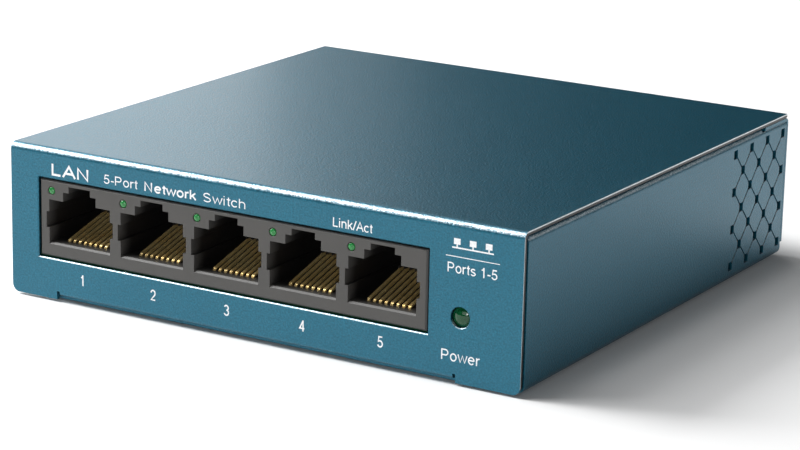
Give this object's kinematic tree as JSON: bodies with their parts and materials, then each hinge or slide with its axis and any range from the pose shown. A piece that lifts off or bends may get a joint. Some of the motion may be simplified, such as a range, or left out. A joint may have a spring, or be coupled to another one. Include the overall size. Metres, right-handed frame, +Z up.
{
  "type": "desktop network switch",
  "caption": "Small metal-cased desktop network switch: a row of network ports with link lamps and a power lamp in front, vents in the sides and a power socket behind.",
  "frame": {"origin": "on the desk, under the middle of the case", "axes": "+X to the right along the front, -Y out of the ports, +Z up"},
  "size_m": [0.093, 0.093, 0.025],
  "materials": {
    "case_paint": "satin powder coat with a fine leather grain",
    "port_plastic": "moulded, satin",
    "contact_gold": "gold plated spring wire",
    "link_lens": "tinted clear acrylic",
    "power_lens": "tinted epoxy lens",
    "black_plastic": "moulded, satin",
    "board_laminate": "solder mask",
    "chip_epoxy": "matt epoxy",
    "chip_ceramic": "ceramic",
    "ferrite": "sintered",
    "thermal_silicone": "soft pad",
    "lamp_chip": "clear",
    "sink_aluminium": "satin",
    "zinc_steel": "zinc plated",
    "screw_steel": "zinc plated",
    "tinned_wire": "tinned",
    "nickel_plate": "nickel plated",
    "standoff_brass": "turned",
    "foot_rubber": "moulded",
    "white_print": "white screen print on the case"
  },
  "bodies": {
    "case": {"top_cover": "case_paint", "base_chassis": "case_paint", "cover_hooks": "zinc_steel", "rubber_feet": "foot_rubber", "cover_screws": "screw_steel", "board_screws": "screw_steel", "board_standoffs": "standoff_brass", "circuit_board": "board_laminate", "port_block_housing": "port_plastic", "contact_leads": "contact_gold", "link_lamp_chips": "lamp_chip", "power_lamp": "power_lens", "power_lamp_leads": "tinned_wire", "power_lamp_holder": "black_plastic", "power_socket_housing": "black_plastic", "power_socket_terminals": "tinned_wire", "power_socket_pin": "nickel_plate", "switch_chip": "chip_epoxy", "thermal_pad": "thermal_silicone", "heat_sink": "sink_aluminium", "lan_transformers": "chip_epoxy", "crystal": "zinc_steel", "filter_capacitors": "sink_aluminium", "power_inductor": "ferrite", "regulator_chip": "chip_epoxy", "memory_chip": "chip_epoxy", "small_chip_parts": "chip_ceramic", "port_1_light_pipe": "link_lens", "port_2_light_pipe": "link_lens", "port_3_light_pipe": "link_lens", "port_4_light_pipe": "link_lens", "port_5_light_pipe": "link_lens"},
    "port_1_springs": {"port_1_contacts": "contact_gold"},
    "port_2_springs": {"port_2_contacts": "contact_gold"},
    "port_3_springs": {"port_3_contacts": "contact_gold"},
    "port_4_springs": {"port_4_contacts": "contact_gold"},
    "port_5_springs": {"port_5_contacts": "contact_gold"},
    "socket_leaf": {"power_socket_spring": "nickel_plate"}
  },
  "joints": [
    {"name": "port_1_contacts_flex", "type": "hinge", "parent": "case", "child": "port_1_springs", "pos_m": [-0.03314, -0.04375, 0.0095], "axis": [-1, 0, 0], "range_deg": [0, 12], "stiffness_Nm_per_rad": 0.3},
    {"name": "port_2_contacts_flex", "type": "hinge", "parent": "case", "child": "port_2_springs", "pos_m": [-0.01917, -0.04375, 0.0095], "axis": [-1, 0, 0], "range_deg": [0, 12], "stiffness_Nm_per_rad": 0.3},
    {"name": "port_3_contacts_flex", "type": "hinge", "parent": "case", "child": "port_3_springs", "pos_m": [-0.0052, -0.04375, 0.0095], "axis": [-1, 0, 0], "range_deg": [0, 12], "stiffness_Nm_per_rad": 0.3},
    {"name": "port_4_contacts_flex", "type": "hinge", "parent": "case", "child": "port_4_springs", "pos_m": [0.00877, -0.04375, 0.0095], "axis": [-1, 0, 0], "range_deg": [0, 12], "stiffness_Nm_per_rad": 0.3},
    {"name": "port_5_contacts_flex", "type": "hinge", "parent": "case", "child": "port_5_springs", "pos_m": [0.02274, -0.04375, 0.0095], "axis": [-1, 0, 0], "range_deg": [0, 12], "stiffness_Nm_per_rad": 0.3},
    {"name": "power_socket_leaf_flex", "type": "hinge", "parent": "case", "child": "socket_leaf", "pos_m": [0.0285, 0.0374, 0.00995], "axis": [-1, 0, 0], "range_deg": [0, 6], "stiffness_Nm_per_rad": 0.15}
  ]
}
